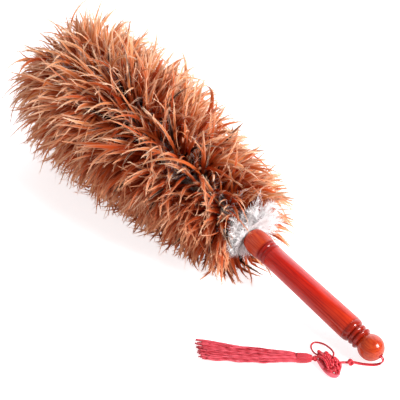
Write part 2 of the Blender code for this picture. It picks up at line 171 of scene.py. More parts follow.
# From inside the ball to inside the small knot.
STRAND_ROUTE = [
    (7.0, 0.0, 11.6), (9.8, 0.0, 11.2), (12.4, 0.1, 10.7), (14.3, 0.3, 9.5),
    (15.0, 0.4, 7.3), (14.6, 0.1, 4.8), (13.2, -1.0, 2.6), (11.0, -3.4, 1.2),
    (8.4, -6.4, 0.8), (5.4, -9.4, 0.8), (2.2, -12.4, 0.9), (-0.4, -15.3, 1.8),
    (-1.9, -17.5, 2.9), (-3.4, -19.6, 3.3),
]
REAR_LOOP_ROUTE = [
    (-20.2, -27.2, 6.4), (-22.6, -25.6, 5.6), (-26.6, -23.8, 4.4), (-31.0, -22.8, 3.2),
    (-36.4, -22.6, 2.1), (-41.0, -23.9, 1.3), (-44.3, -27.2, 1.1), (-44.0, -31.4, 1.1),
    (-41.0, -34.8, 1.5), (-36.8, -37.3, 2.6), (-32.6, -38.6, 3.8),
]
FRONT_BAND_ROUTE = [
    (-25.6, -43.0, 4.4), (-21.2, -43.9, 4.0), (-15.8, -44.9, 3.2), (-10.2, -45.4, 2.6),
    (-4.8, -44.8, 2.4), (-1.6, -42.4, 2.9), (-1.8, -38.6, 3.8),
]
SMALL_KNOT_CENTRE, SMALL_KNOT_SIZES = (-4.6, -21.3, 3.5), (4.2, 3.4, 3.3)
SMALL_KNOT_HEADING = radians(-125)
SMALL_KNOT_CORD, LINK_CORD = 1.2, 1.1
LINK_ROUTE = [(-5.0, -21.8, 3.6), (-7.0, -24.6, 3.7), (-8.6, -27.0, 4.0), (-11.0, -31.0, 4.4)]
REAR_LOOP_ENDS = (-16.8, -31.6, 6.2), (-28.8, -38.8, 4.8)  # inside the cloverleaf knot
CLOVERLEAF_CENTRE, CLOVERLEAF_SIZES = (-14.6, -37.4, 4.9), (14.2, 9.4, 4.8)
CLOVERLEAF_HEADING = radians(-16)
# Closed braids: wraps, lobes, scale, inside, height, shift, phase, cord radius, tone.
WHORLS = (
    (3, 5, 1.0, 0.42, 3.0, (0.0, 0.0, -0.9), 0.0, 1.35, 0.45),
    (4, 7, 0.66, 0.12, 3.2, (0.5, 0.4, -0.4), 0.7, 1.35, 0.30),
    (2, 5, 0.62, 0.30, 2.6, (3.2, 2.0, 1.3), 1.2, 1.30, 0.65),
    (2, 3, 0.50, 0.20, 2.2, (-6.6, 1.2, 2.4), 0.4, 1.30, 0.60),
    (2, 3, 0.46, 0.30, 2.0, (-11.6, 0.6, 0.4), 1.9, 1.25, 0.40),
    (2, 3, 0.44, 0.02, 2.2, (7.8, -2.0, 0.3), 2.6, 1.25, 0.50),
)
BRIDGE_ROUTE = [(-26.2, -39.6, 6.8), (-21.4, -38.6, 8.4), (-15.4, -40.0, 8.0), (-9.8, -42.4, 4.8)]
BRIDGE_CORD = 1.2
NECK_KNOT_LEVEL = 4.6
NECK_CORD, NECK_RING_CORD, NECK_RING_SIZES = 1.7, 0.85, (2.0, 2.0, 1.9)
WRAP_ROUTE = [(-29.7, -46.2, 4.8), (-31.0, -47.6, 4.9), (-34.6, -51.6, 5.0), (-38.9, -56.2, 5.0)]
WRAP_RADII = [3.3, 4.7, 4.9, 4.8]
SKIRT_ROUTE = [
    (-39.6, -57.0, 5.0), (-42.2, -59.4, 5.4), (-48.6, -65.6, 4.9), (-58.6, -75.4, 4.2),
    (-70.4, -86.6, 3.5), (-87.0, -101.4, 3.0), (-105.6, -117.8, 2.6), (-111.0, -122.5, 2.5),
]
SKIRT_HALF_WIDTHS = [4.8, 6.4, 7.3, 8.4, 9.4, 10.4, 11.2, 11.5]
SKIRT_HALF_HEIGHTS = [4.6, 5.2, 4.7, 4.0, 3.3, 2.8, 2.3, 2.2]
NECK_HALF_WIDTH, NECK_HALF_HEIGHT = 3.6, 3.4  # of the threads' bundle inside the wound neck
THREADS = 120
THREAD_RADII = (0.44, 0.68)
THREAD_ENDS = (0.86, 0.95)
WINDINGS, WINDING_SIDES, WINDING_RADIUS = 24, 22, 0.3

# Feather colours from root to tip. The deep colours near the root are the feathers' own, darkened
# further as painted shade of the gaps between feathers.
DOWNY = [(0.0, (0.66, 0.62, 0.62)), (0.07, (0.36, 0.30, 0.29))]
RUST = [
    *DOWNY,
    (0.14, (0.17, 0.095, 0.075)), (0.20, (0.25, 0.028, 0.004)), (0.50, (0.43, 0.044, 0.006)),
    (0.76, (0.53, 0.090, 0.018)), (1.0, (0.80, 0.40, 0.21)),
]
TAN = [
    *DOWNY,
    (0.14, (0.20, 0.105, 0.080)), (0.20, (0.33, 0.050, 0.009)), (0.50, (0.60, 0.125, 0.030)),
    (0.75, (0.73, 0.265, 0.090)), (1.0, (0.94, 0.70, 0.50)),
]
DARK = [
    (0.0, (0.30, 0.28, 0.28)), (0.3, (0.02, 0.008, 0.006)), (0.75, (0.05, 0.012, 0.006)),
    (0.92, (0.22, 0.06, 0.02)), (1.0, (0.55, 0.20, 0.08)),
]
# Lacquer colours from deep to light grain, on the grip and at the handle's ends.
RED = [(0.25, (0.32, 0.003, 0.001)), (0.5, (0.52, 0.008, 0.002)), (0.75, (0.62, 0.018, 0.004))]
ORANGE = [(0.25, (0.33, 0.016, 0.003)), (0.5, (0.48, 0.040, 0.007)), (0.75, (0.57, 0.068, 0.012))]
# Hidden CAD pieces: material, dark, light, streaks per metre, stretch, roughness, bump height.
HIDDEN_LOOKS = (
    ("cane_fibre", (0.40, 0.24, 0.10), (0.66, 0.47, 0.26), 260, (1, 1, 1), 0.5, 0.1 * MM),
    ("wound_thread", (0.30, 0.18, 0.10), (0.60, 0.42, 0.27), 900, (8, 1, 1), 0.75, 0.15 * MM),
    ("glued_cord", (0.30, 0.01, 0.02), (0.55, 0.03, 0.05), 700, (1, 1, 1), 0.5, 0.1 * MM),
)


# Mesh tools


def unit(rows):
    return rows / np.maximum(np.linalg.norm(rows, axis=-1, keepdims=True), 1e-12)


def outward(turn):
    """The direction away from the duster's axis at each turn."""
    return np.cos(turn)[..., None] * UP + np.sin(turn)[..., None] * SIDE


def from_ball(route):
    """World points from millimetres from the floor under the ball."""
    return BALL_FOOT + np.asarray(route, float) * MM


def mesh_object(name, points, groups, material, attribute=None, values=None, uv=None):
    """An object from points, groups of faces with equal corners, and numbers for the points."""
    corners = np.concatenate([group.ravel() for group in groups])
    sizes = np.concatenate([np.full(len(group), group.shape[1]) for group in groups])
    starts = np.cumsum(sizes) - sizes
    mesh = bpy.data.meshes.new(name)
    mesh.vertices.add(len(points))
    mesh.vertices.foreach_set("co", np.asarray(points, np.float32).ravel())
    mesh.loops.add(len(corners))
    mesh.loops.foreach_set("vertex_index", corners.astype(np.int32))
    mesh.polygons.add(len(sizes))
    mesh.polygons.foreach_set("loop_start", starts.astype(np.int32))
    mesh.update(calc_edges=True)
    if attribute:
        layer = mesh.attributes.new(attribute, "FLOAT_VECTOR", "POINT")
        layer.data.foreach_set("vector", np.asarray(values, np.float32).ravel())
    if uv is not None:
        layer = mesh.uv_layers.new(name="OFBake")
        layer.data.foreach_set("uv", np.asarray(uv, np.float32)[corners].ravel())
    mesh.shade_smooth()
    mesh.materials.append(material)
    made = bpy.data.objects.new(name, mesh)
    bpy.context.scene.collection.objects.link(made)
    return made


def distances(points):
    """The distance of each point along a route."""
    return np.concatenate(([0], np.cumsum(np.linalg.norm(np.diff(points, axis=0), axis=1))))


def points_at(places, known, points):
    """Points between known ones."""
    return np.stack([np.interp(places, known, column) for column in points.T], 1)


def smooth_route(points, step):
    """Points about a step apart on a smooth curve through the given points."""
    way = np.asarray(points, float)
    way = np.vstack((2 * way[0] - way[1], way, 2 * way[-1] - way[-2]))
    share = (np.arange(12) / 12)[:, None]
    fine = []
    for before, here, there, after in zip(way, way[1:], way[2:], way[3:]):
        bow = 2 * before - 5 * here + 4 * there - after
        twist = 3 * here - before - 3 * there + after
        fine.append(0.5 * (2 * here + (there - before) * share + bow * share**2 + twist * share**3))
    fine = np.vstack((*fine, way[-2]))
    walked = distances(fine)
    count = max(3, round(walked[-1] / step))
    places = np.linspace(0, walked[-1], count + 1)
    return points_at(places, walked, fine)


def per_point(shape, *numbers):
    """A row of numbers for each point, from arrays that fit their shape."""
    rows = np.stack([np.broadcast_to(number, shape) for number in numbers], -1)
    return rows.reshape(-1, len(numbers))


def ring_faces(count, sides, closed=False):
    """The faces between rings of points, and from the last to the first if closed."""
    rows = np.arange(count if closed else count - 1)
    near = rows[:, None] * sides + np.arange(sides)
    far = ((rows + 1) % count)[:, None] * sides + np.arange(sides)
    return np.stack((near, np.roll(near, -1, 1), np.roll(far, -1, 1), far), -1).reshape(-1, 4)


def tube_arrays(path, radii, sides, tone, flatten=1.0, closed=False):
    """A tube along a path. Its values are millimetres along, the share round, and a tone."""
    if closed:
        path = path[:-1]
        runs = unit(np.roll(path, -1, 0) - np.roll(path, 1, 0))
    else:
        runs = unit(np.gradient(path, axis=0))
    count = len(path)
    radii = np.broadcast_to(radii, (count,))
    across = np.zeros_like(path)
    first = np.cross(runs[0], (0, 0, 1))
    across[0] = unit(first if np.linalg.norm(first) > 0.05 else np.cross(runs[0], (0, 1, 0)))
    for k in range(1, count):
        across[k] = unit(across[k - 1] - runs[k] * (across[k - 1] @ runs[k]))
    if flatten != 1.0:
        across = unit(np.cross(runs, (0, 0, 1)))
    above = np.cross(across, runs)
    turns = 2 * pi * np.arange(sides) / sides
    aside, lift = radii[:, None] * np.cos(turns), radii[:, None] * np.sin(turns)
    rings = path[:, None] + aside[..., None] * across[:, None]
    rings = rings + lift[..., None] * above[:, None] * flatten
    walked = distances(path)[:, None] / MM
    values = per_point((count, sides), walked, turns / (2 * pi), tone)
    groups = [ring_faces(count, sides, closed)]
    if not closed:
        groups.append(np.arange(sides)[None, ::-1])
        groups.append((np.arange(sides) + (count - 1) * sides)[None])
    return rings.reshape(-1, 3), groups, values


def joined_object(name, parts, material, attribute):
    """One object from sets of points, face groups, values and, on feathers, UV places."""
    groups, first = [], 0
    for points, some_groups, *_ in parts:
        groups += [group + first for group in some_groups]
        first += len(points)
    points, *rest = [np.vstack([part[k] for part in parts]) for k in range(len(parts[0])) if k != 1]
    return mesh_object(name, points, groups, material, attribute, *rest)


def level_frame(path):
    """Directions across a path: one level, one upright to it and to the path."""
    runs = unit(np.gradient(path, axis=0))
    across = unit(np.cross(runs, (0, 0, 1)))
    return across, np.cross(across, runs)


def thread_object(name, parts, material):
    return joined_object(name, parts, material, "thread")


# Materials


class Nodes:
    """Short ways to add nodes to a new material or world."""

    def __init__(self, owner, shader="Principled BSDF"):
        owner.use_nodes = True
        self.owner = owner
        self.tree = owner.node_tree
        self.shader = self.tree.nodes[shader]

    def add(self, kind, *values, **settings):
        """A new node with values for its first inputs."""
        node = self.tree.nodes.new(kind)
        for key, value in settings.items():
            setattr(node, key, value)
        for socket, value in zip(node.inputs, values):
            self.put(socket, value)
        return node

    def put(self, socket, value):
        """Links or sets an input. Colours are given as three numbers."""
        if isinstance(value, bpy.types.NodeSocket):
            self.tree.links.new(value, socket)
        else:
            socket.default_value = (*value, 1) if socket.type == "RGBA" else value

    def math(self, operation, *values, clamp=False):
        node = self.add("ShaderNodeMath", *values, operation=operation, use_clamp=clamp)
        return node.outputs[0]

    def times(self, value, *others):
        for other in others:
            value = self.math("MULTIPLY", value, other)
        return value

    def spread(self, value, low, high, start=0.0, end=1.0):
        """value from low to high, as a smooth change from start to end."""
        values = value, low, high, start, end
        node = self.add("ShaderNodeMapRange", *values, interpolation_type="SMOOTHSTEP")
        return node.outputs["Result"]

    def ramp(self, value, stops):
        node = self.add("ShaderNodeValToRGB", value)
        elements = node.color_ramp.elements
        while len(elements) < len(stops):
            elements.new(0.5)
        for element, (place, colour) in zip(elements, stops):
            element.position = place
            element.color = (*colour, 1)
        return node.outputs["Color"]

    def mix(self, share, first, second, blend="MIX"):
        node = self.add("ShaderNodeMix", share, data_type="RGBA", blend_type=blend)
        self.put(node.inputs[6], first)
        self.put(node.inputs[7], second)
        return node.outputs[2]

    def mapped(self, scale, location=(0, 0, 0)):
        """The place on the object, moved and stretched."""
        place = self.add("ShaderNodeTexCoord").outputs["Object"]
        return self.add("ShaderNodeMapping", place, location, (0, 0, 0), scale).outputs[0]

    def noise(self, scale, detail=3.0, stretch=(1, 1, 1)):
        node = self.add("ShaderNodeTexNoise", self.mapped(stretch), 0.0, scale, detail)
        return node.outputs["Fac"]

    def attribute(self, name):
        """The three numbers of a vector attribute."""
        node = self.add("ShaderNodeAttribute", attribute_name=name)
        return self.add("ShaderNodeSeparateXYZ", node.outputs["Vector"]).outputs

    def bump(self, height, distance, strength):
        node = self.add("ShaderNodeBump")
        node.inputs["Distance"].default_value = distance
        node.inputs["Strength"].default_value = strength
        self.put(node.inputs["Height"], height)
        self.put(self.shader.inputs["Normal"], node.outputs["Normal"])

    def surface(self, colour, roughness, **extra):
        self.put(self.shader.inputs["Base Color"], colour)
        self.put(self.shader.inputs["Roughness"], roughness)
        for key, value in extra.items():
            self.put(self.shader.inputs[key.replace("_", " ")], value)
        return self.owner


def feather_material():
    """Rooster feather. The attribute holds the shares along it and out to its edge, and a tone."""
    nodes = Nodes(bpy.data.materials.new("feather"))
    along, edge, tone = nodes.attribute("feather")
    rust, tan, dark = (nodes.ramp(along, stops) for stops in (RUST, TAN, DARK))
    body = nodes.mix(nodes.spread(tone, 0.2, 0.8), rust, tan)
    body = nodes.mix(nodes.math("GREATER_THAN", tone, 0.955), body, dark)
    # Pale edges: the feathers' own lighter edges, made paler to stand in for their sheen as a painted
    # highlight.
    paler = nodes.math("MULTIPLY_ADD", nodes.spread(tone, 0.25, 0.55), 0.65, 0.3)
    rim = nodes.times(nodes.math("POWER", edge, 3.0), nodes.spread(along, 0.45, 0.85), paler)
    body = nodes.mix(rim, body, (0.96, 0.70, 0.52))
    slant = nodes.math("SUBTRACT", nodes.times(along, 420.0), nodes.times(edge, 22.0))
    barbs = nodes.math("SINE", slant)
    shade = nodes.math("MULTIPLY_ADD", barbs, 0.08, 0.96)
    body = nodes.mix(1.0, body, shade, "MULTIPLY")
    nodes.bump(barbs, 0.05 * MM, 0.5)
    return nodes.surface(body, 0.5, Specular_IOR_Level=0.05)


def down_material():
    """White down with grey patches: the attribute holds a shade, the share along, and a tone."""
    nodes = Nodes(bpy.data.materials.new("down"))
    shade, along, tone = nodes.attribute("feather")
    white = nodes.ramp(shade, [(0.0, (0.93, 0.92, 0.93)), (1.0, (0.99, 0.99, 0.99))])
    grey_and_painted_shade = nodes.ramp(shade, [(0.0, (0.06, 0.045, 0.05)), (1.0, (0.40, 0.36, 0.37))])
    body = nodes.mix(nodes.spread(tone, 0.70, 0.86), white, grey_and_painted_shade)
    body = nodes.mix(nodes.times(along, 0.25), body, (0.97, 0.97, 0.98))
    return nodes.surface(body, 0.7, Sheen_Weight=0.3, Sheen_Roughness=0.5)


def wood_material():
    """Red lacquer over the growth rings of turned wood, more orange at both ends, with painted shade
    on the beads.
    """
    nodes = Nodes(bpy.data.materials.new("lacquered_wood_fine"))
    place = nodes.add("ShaderNodeTexCoord").outputs["Object"]
    along = nodes.add("ShaderNodeSeparateXYZ", place).outputs[2]
    across = nodes.mapped((1, 1, 0.10), (0.034, 0.012, 0))
    settings = {"wave_type": "RINGS", "rings_direction": "Z"}
    rings = nodes.add("ShaderNodeTexWave", across, 150.0, 9.0, 4.0, 1.6, **settings)
    pores = nodes.noise(1.0, 5.0, (1100, 1100, 40))
    clouds = nodes.noise(40.0)
    grain = nodes.math("MULTIPLY_ADD", rings.outputs["Fac"], 0.20, nodes.times(pores, 0.80))
    red, orange = nodes.ramp(grain, RED), nodes.ramp(grain, ORANGE)
    ball = nodes.spread(along, 0.013, 0.007)
    collar = nodes.spread(along, 0.143, 0.147)
    foot = nodes.times(nodes.spread(along, 0.085, 0.030), 0.45)
    ends = nodes.math("MAXIMUM", nodes.math("MAXIMUM", ball, collar), foot)
    body = nodes.mix(ends, red, orange)
    # Painted shade: the beaded neck and the collar beads are darkened towards deep red, as if shaded
    # in their grooves.
    neck = nodes.times(nodes.spread(along, 0.008, 0.011), nodes.spread(along, 0.028, 0.025))
    beads = nodes.times(nodes.spread(along, 0.134, 0.136), nodes.spread(along, 0.147, 0.145))
    painted_bead_shade = nodes.times(nodes.math("MAXIMUM", neck, beads), 0.6)
    body = nodes.mix(painted_bead_shade, body, (0.16, 0.004, 0.002))
    shade = nodes.math("MULTIPLY_ADD", clouds, 0.5, 0.66)
    body = nodes.mix(1.0, body, shade, "MULTIPLY")
    nodes.bump(pores, 0.02 * MM, 0.2)
    return nodes.surface(
        body, 0.5, Specular_IOR_Level=0.05, Coat_Weight=1.0, Coat_Roughness=0.08, Coat_IOR=1.36
    )


def satin_material(name, deep, bright, pitch, roughness):
    """Twisted satin. The attribute holds millimetres along, the share round, and a tone."""
    nodes = Nodes(bpy.data.materials.new(name))
    along, around, tone = nodes.attribute("thread")
    twist = nodes.math("ADD", nodes.math("DIVIDE", along, pitch), around)
    twist = nodes.math("MULTIPLY_ADD", tone, 7.3, twist)
    twist = nodes.math("SINE", nodes.times(twist, 2 * pi))
    share = nodes.math("MULTIPLY_ADD", twist, 0.16, nodes.math("MULTIPLY_ADD", tone, 0.7, 0.15))
    fuzz = nodes.noise(900.0, detail=2.0)
    share = nodes.math("MULTIPLY_ADD", fuzz, 0.25, nodes.math("SUBTRACT", share, 0.12), clamp=True)
    body = nodes.mix(share, deep, bright)
    nodes.bump(twist, 0.08 * MM, 0.6)
    return nodes.surface(body, roughness, Specular_IOR_Level=0.35)


def plain_material(name, low, high, scale, stretch, roughness, bump):
    """A matte fibre or cane surface with streaks along its length."""
    nodes = Nodes(bpy.data.materials.new(name))
    streaks = nodes.noise(scale, detail=4.0, stretch=stretch)
    body = nodes.ramp(streaks, [(0.3, low), (0.7, high)])
    nodes.bump(streaks, bump, 0.5)
    return nodes.surface(body, roughness)


# Handle


def arc(radius, first, last, count):
    """Points of a circle's arc round the axis origin as (radius, along)."""
    angles = np.linspace(first, last, count)
    return [(radius * sin(a), radius * cos(a)) for a in angles]


def bulge(start, end, height, count=12):
    """A shallow bead between two (radius, along) points, as a half wave."""
    shares = np.linspace(0, 1, count)
    radii = start[0] + (end[0] - start[0]) * shares + height * np.sin(pi * shares)
    return list(zip(radii, start[1] + (end[1] - start[1]) * shares))


def eased(points, step=0.7):
    """Points on a smooth curve through a list of (radius, along) points."""
    route = smooth_route([(radius, along, 0) for radius, along in points], step)
    return route[:, :2].tolist()


def handle_profile():
    """From the bottom of the cord hole, over ball and grip, to the bottom of the rod bore."""
    mouth = pi - asin(CORD_HOLE_MOUTH / BALL_RADIUS)
    outline = [(0, CORD_HOLE_BOTTOM), (CORD_HOLE_RADIUS, CORD_HOLE_BOTTOM)]
    outline += [(CORD_HOLE_RADIUS, CORD_HOLE_FLARE)]
    outline += [(CORD_HOLE_RADIUS * 1.35, CORD_HOLE_FLARE - 0.9 * MM)]
    outline += arc(BALL_RADIUS, mouth, NECK_ANGLE, 48)
    details = [NECK, *bulge(*NECK_RING), RING_GROOVE, *bulge(*NECK_BEAD), BEAD_GROOVE]
    details += [*eased(SHOULDER), *GRIP, *bulge(*LOWER_COLLAR_BEAD), COLLAR_BEAD_GROOVE]
    details += [*bulge(*UPPER_COLLAR_BEAD), COLLAR_STEP]
    details += eased([*COLLAR, (RIM_RADIUS / MM, RIM_ALONG / MM)])
    outline += [(radius * MM, along * MM) for radius, along in details]
    outline += [(ROD_BORE_RADIUS, RIM_ALONG), (ROD_BORE_RADIUS, ROD_BORE_BOTTOM), (0, ROD_BORE_BOTTOM)]
    return outline


def make_handle():
    profile = np.array(handle_profile())
    turns = 2 * pi * np.arange(HANDLE_SEGMENTS) / HANDLE_SEGMENTS
    radii, along = profile[1:-1, :1], profile[1:-1, 1:]
    count = len(radii)
    rings = per_point((count, HANDLE_SEGMENTS), radii * np.cos(turns), radii * np.sin(turns), along)
    points = np.vstack((rings, (0, 0, profile[0][1]), (0, 0, profile[-1][1])))
    sides = ring_faces(count, HANDLE_SEGMENTS)[:, [0, 3, 2, 1]]
    first = np.arange(HANDLE_SEGMENTS)
    last = first + (count - 1) * HANDLE_SEGMENTS
    bottom = np.stack((first, np.roll(first, -1), np.full_like(first, len(points) - 2)), 1)
    top = np.stack((np.roll(last, -1), last, np.full_like(last, len(points) - 1)), 1)
    handle = mesh_object("handle_lacquered", points, [sides, bottom, top], wood_material())
    handle.data.set_sharp_from_angle(angle=radians(40))
    handle.matrix_world = AXIS_FRAME
    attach(handle, "duster")
    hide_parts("handle")


# Feather head


def head_radius(along):
    """Outer radius of the feathers, slim at the handle and full near the tip."""
    short = np.clip(HEAD_WIDEST - along, 0, None) / NECK_REACH
    return HEAD_RADIUS * (1 - short**NECK_POWER)


def on_axis(along):
    return BALL_CENTRE + along[:, None] * TIPWARD


def from_axis(points):
    """How far points are along the duster's axis, and away from it."""
    offset = points - BALL_CENTRE
    along = offset @ TIPWARD
    return along, np.linalg.norm(offset - along[..., None] * TIPWARD, axis=-1)


def fullness(points):
    """How far points are out towards the head's outer surface, where it is 1."""
    along, away = from_axis(points)
    front = np.clip((along - HEAD_WIDEST) / (HEAD_TIP - HEAD_WIDEST), 0, None)
    back = np.clip((HEAD_BACK + BACK_ROUNDING - along) / BACK_ROUNDING, 0, None)
    return np.sqrt((away / head_radius(along)) ** 2 + front**2 + back**2)


def feather_slope(root):
    """How far along the axis a feather leans for each step outwards."""
    u = (root - FIRST_ROOT) / (LAST_ROOT - FIRST_ROOT)
    return -0.46 + 1.29 * u - 0.35 * u * u + 0.47 * u**6


def wave_field(seed):
    """A smooth random number over the head, about -1 to 1."""
    rng = np.random.default_rng(seed)
    rounds = rng.integers(2, 15, 10)[:, None]
    runs = rng.uniform(-1, 1, 10)[:, None] * 2 * pi / (30 * MM)
    phases = rng.uniform(0, 2 * pi, 10)[:, None]

    def value(along, turn):
        return np.sin(rounds * turn + runs * along + phases).sum(0) / 3.2

    return value


SWAY, NOD, SHADE = wave_field(11), wave_field(12), wave_field(13)


def from_parting(along, turn):
    """The turn from the parting line, from -pi to pi."""
    line = sum(swing * np.sin(2 * pi * along / run + phase) for swing, run, phase in PARTING_WAVES)
    return (turn - PARTING_TURN - line + pi) % (2 * pi) - pi


def grow(starts, headings, lengths, limp, curls):
    """Spines that bend by their weight and their own curls, and lie down on the floor."""
    step = (lengths / STEPS)[:, None]
    point, heading = starts.copy(), unit(headings)
    spine = [point]
    for k in range(STEPS):
        share = (k + 0.5) / STEPS
        bend = curls * share
        bend[:, 2] -= limp * share
        heading = unit(heading + bend * step)
        point = point + heading * step
        low = point[:, 2] < FLOOR_GAP
        point[low, 2] = FLOOR_GAP
        heading[low, 2] = np.maximum(heading[low, 2], 0)
        heading = unit(heading)
        spine.append(point)
    return np.stack(spine, 1)


def grow_to(shares, starts, headings, limp, curls, longest):
    """Spines long enough to reach their shares of the way to the head's surface."""
    lengths = np.full(len(starts), 0.085)
    for _ in range(FIT_ROUNDS):
        spine = grow(starts, headings, lengths, limp, curls)
        change = shares / fullness(spine).max(1)
        lengths = np.clip(lengths * np.clip(change, 0.75, 1.25), 20 * MM, longest)
    return grow(starts, headings, lengths, limp, curls)


def feather_part(points, groups, owner, count, along, edge, tone, aside):
    """Arrays with the material's numbers. Each owner has its square of the bake picture."""
    side = int(np.ceil(sqrt(count)))
    corner = np.stack((owner % side, owner // side), -1) / side
    place = np.stack(np.broadcast_arrays(0.5 + aside, 0.04 + 0.92 * along), -1)
    uv = (corner + place * (1 / side)).reshape(-1, 2)
    return points.reshape(-1, 3), groups, per_point(points.shape[:-1], along, edge, tone), uv


def sheet_faces(count, first, width):
    """The faces of sheets along feathers, from their step first on, width points across."""
    rows = np.arange(first, STEPS)[:, None] * width + np.arange(width - 1)
    near = np.arange(count)[:, None, None] * (STEPS + 1) * width + rows
    return np.stack((near, near + 1, near + width + 1, near + width), -1).reshape(-1, 4)


def vane_arrays(rng, spine, flats, widths, tones):
    """Vanes, cupped across, and quills of many feathers along their spines."""
    count = len(spine)
    runs = unit(np.gradient(spine, axis=1))
    sides = unit(np.cross(runs, flats[:, None]))
    backs = np.cross(sides, runs)
    share = np.linspace(0, 1, STEPS + 1)
    vane = np.clip((share - VANE_FROM) / (1 - VANE_FROM), 0, 1)
    outline = vane**0.55 * (1 - vane) ** 1.05 / 0.36
    columns = np.array((-1.0, -0.55, 0.0, 0.55, 1.0))
    ragged = 1 + rng.normal(scale=0.07, size=(count, STEPS + 1, 2))
    ragged *= 1 - 0.35 * (rng.random((count, STEPS + 1, 2)) < 0.07)
    ragged = ragged[..., (0, 0, 0, 1, 1)]
    out = widths[:, None, None] * outline[None, :, None] * ragged * columns
    cup = rng.uniform(0.12, 0.5, (count, 1, 1))
    drop = np.abs(out) * cup * (0.5 + 0.5 * np.abs(columns))
    points = spine[:, :, None] + out[..., None] * sides[:, :, None]
    points -= drop[..., None] * backs[:, :, None]
    points[..., 2] = np.maximum(points[..., 2], 0.25 * MM)
    owner, along, tone = np.arange(count)[:, None, None], share[None, :, None], tones[:, None, None]
    edge, aside = np.abs(columns), 0.45 * columns
    faces = sheet_faces(count, round(VANE_FROM * STEPS), len(columns))
    sheet = feather_part(points, [faces], owner, count, along, edge, tone, aside)

    thick = QUILL_RADIUS * (1.1 - share)[None, :, None]
    quill = np.stack((spine - sides * thick, spine + backs * thick, spine + sides * thick), 2)
    faces = sheet_faces(count, 0, 3)
    aside = 0.03 * np.array((-1.0, 0.0, 1.0))
    shaft = feather_part(quill, [faces], owner, count, along, QUILL_EDGE, tone, aside)
    return [sheet, shaft, fringe_arrays(rng, points, runs, sides, backs, share, tones)]


def fringe_arrays(rng, vanes, runs, sides, backs, share, tones):
    """Loose barbs that spring forwards from the vanes' edges and fray them."""
    count = len(vanes)
    feather = np.repeat(np.arange(count), FRINGE)
    row = rng.integers(round(0.4 * STEPS), STEPS, len(feather))
    hand = rng.choice((-1.0, 1.0), len(feather))
    root = vanes[feather, row, np.where(hand < 0, 0, 4)]
    run, side, back = runs[feather, row], sides[feather, row], backs[feather, row]
    splay = rng.uniform(0.15, 0.65, len(feather)) * hand
    first = unit(run + splay[:, None] * side + rng.normal(scale=0.12, size=run.shape))
    second = unit(first + 0.35 * run + rng.normal(scale=0.15, size=run.shape))
    length = (rng.uniform(*FRINGE_LENGTH, len(feather)) * (1.1 - 0.5 * share[row]))[:, None]
    wide = unit(np.cross(first, back)) * FRINGE_WIDTH / 2
    middle = root + first * length * 0.5
    tip = middle + second * length * 0.5
    strip = np.stack((root - wide, root + wide, middle - 0.8 * wide, middle + 0.8 * wide, tip), 1)
    strip[..., 2] = np.maximum(strip[..., 2], 0.3 * MM)
    base = np.arange(len(feather))[:, None] * 5
    along, edge = share[row][:, None], rng.uniform(0.2, 1.0, len(feather))[:, None]
    groups = [base + (0, 1, 3, 2), base + (2, 3, 4)]
    owner, tone, aside = feather[:, None], tones[feather][:, None], 0.45 * hand[:, None] * np.ones(5)
    return feather_part(strip, groups, owner, count, along, edge, tone, aside)


def down_arrays(rng, stems, ends, plume, shades, tones):
    """Thin tapering barbs that spring from each plume's stem and curl a little."""
    count = len(stems)
    barbs, barb_length, thick, spread = plume
    run = ends - stems
    size = np.linalg.norm(run, axis=1)
    heading = (run / size[:, None])[:, None]
    shares = rng.uniform(0.0, 1.0, (count, barbs))
    root = stems[:, None] + run[:, None] * shares[..., None]
    heading = unit(heading * 0.8 + spread * unit(rng.normal(size=(count, barbs, 3))))
    reach_out = barb_length * rng.uniform(0.5, 1.3, (count, barbs)) * (1.15 - 0.5 * shares)
    wide = unit(np.cross(heading, unit(rng.normal(size=(count, barbs, 3)))))
    spots = [root]
    for _ in range(3):
        heading = unit(heading + rng.normal(scale=0.2, size=heading.shape))
        spots.append(spots[-1] + heading * (reach_out / 3)[..., None])
    rows = []
    for spot, taper in zip(spots[:3], (1.0, 0.85, 0.55)):
        rows += [spot - wide * thick * taper, spot + wide * thick * taper]
    strip = np.stack((*rows, spots[3]), 2)
    strip[..., 2] = np.maximum(strip[..., 2], 0.3 * MM)
    base = np.arange(count * barbs)[:, None] * 7
    quads = np.concatenate((base + (0, 1, 3, 2), base + (2, 3, 5, 4)))
    tips = base + (4, 5, 6)
    shade, tone = shades[:, None, None], tones[:, None, None]
    outward_share = np.array((0, 0, 0.3, 0.3, 0.6, 0.6, 1.0))
    owner = np.arange(count)[:, None, None] * np.ones((1, barbs, 1), int)
    aside = 0.4 * outward_share
    return feather_part(strip, [quads, tips], owner, count, shade, outward_share, tone, aside)


def keep_off_collar(points):
    """Moves down that lies over the handle's end to just behind it."""
    along, away = from_axis(points)
    lowest = RIM_ALONG + 0.8 * MM - DOWN_LEAN * np.clip(away - 15 * MM, 0, None)
    over = along < lowest
    points[over] += (lowest - along)[over, None] * TIPWARD
    return points


def by_line(signed, values, turns=LINE_TURNS):
    """Blends two values from the parting line to away from it."""
    return np.interp(np.abs(signed), turns, values)


def feather_tones(rng, along, turn, filler):
    """Low tones are rust, high ones tan, and a few feathers are nearly black."""
    lighter_and_painted_side_light = np.interp(along, LIGHTER_ALONG, LIGHTER)
    # Painted light and shade: feathers on the side facing the lights get lighter tones, those on the
    # shaded lower side darker ones.
    lighter_and_painted_side_light = lighter_and_painted_side_light - 0.04 + 0.24 * np.cos(turn - HEAVY_AND_LIT_TURN)
    tones = rng.normal(0.42, 0.22, len(along)) + lighter_and_painted_side_light + 0.14 * SHADE(along, turn)
    # Fillers get painted light: lighter tones lift the shade down in the parting line.
    tones = np.clip(tones + FILLER_PAINTED_LIGHT * filler, 0.02, 0.94)
    tones[rng.random(len(along)) < DARK_SHARE] = 1.0
    return tones


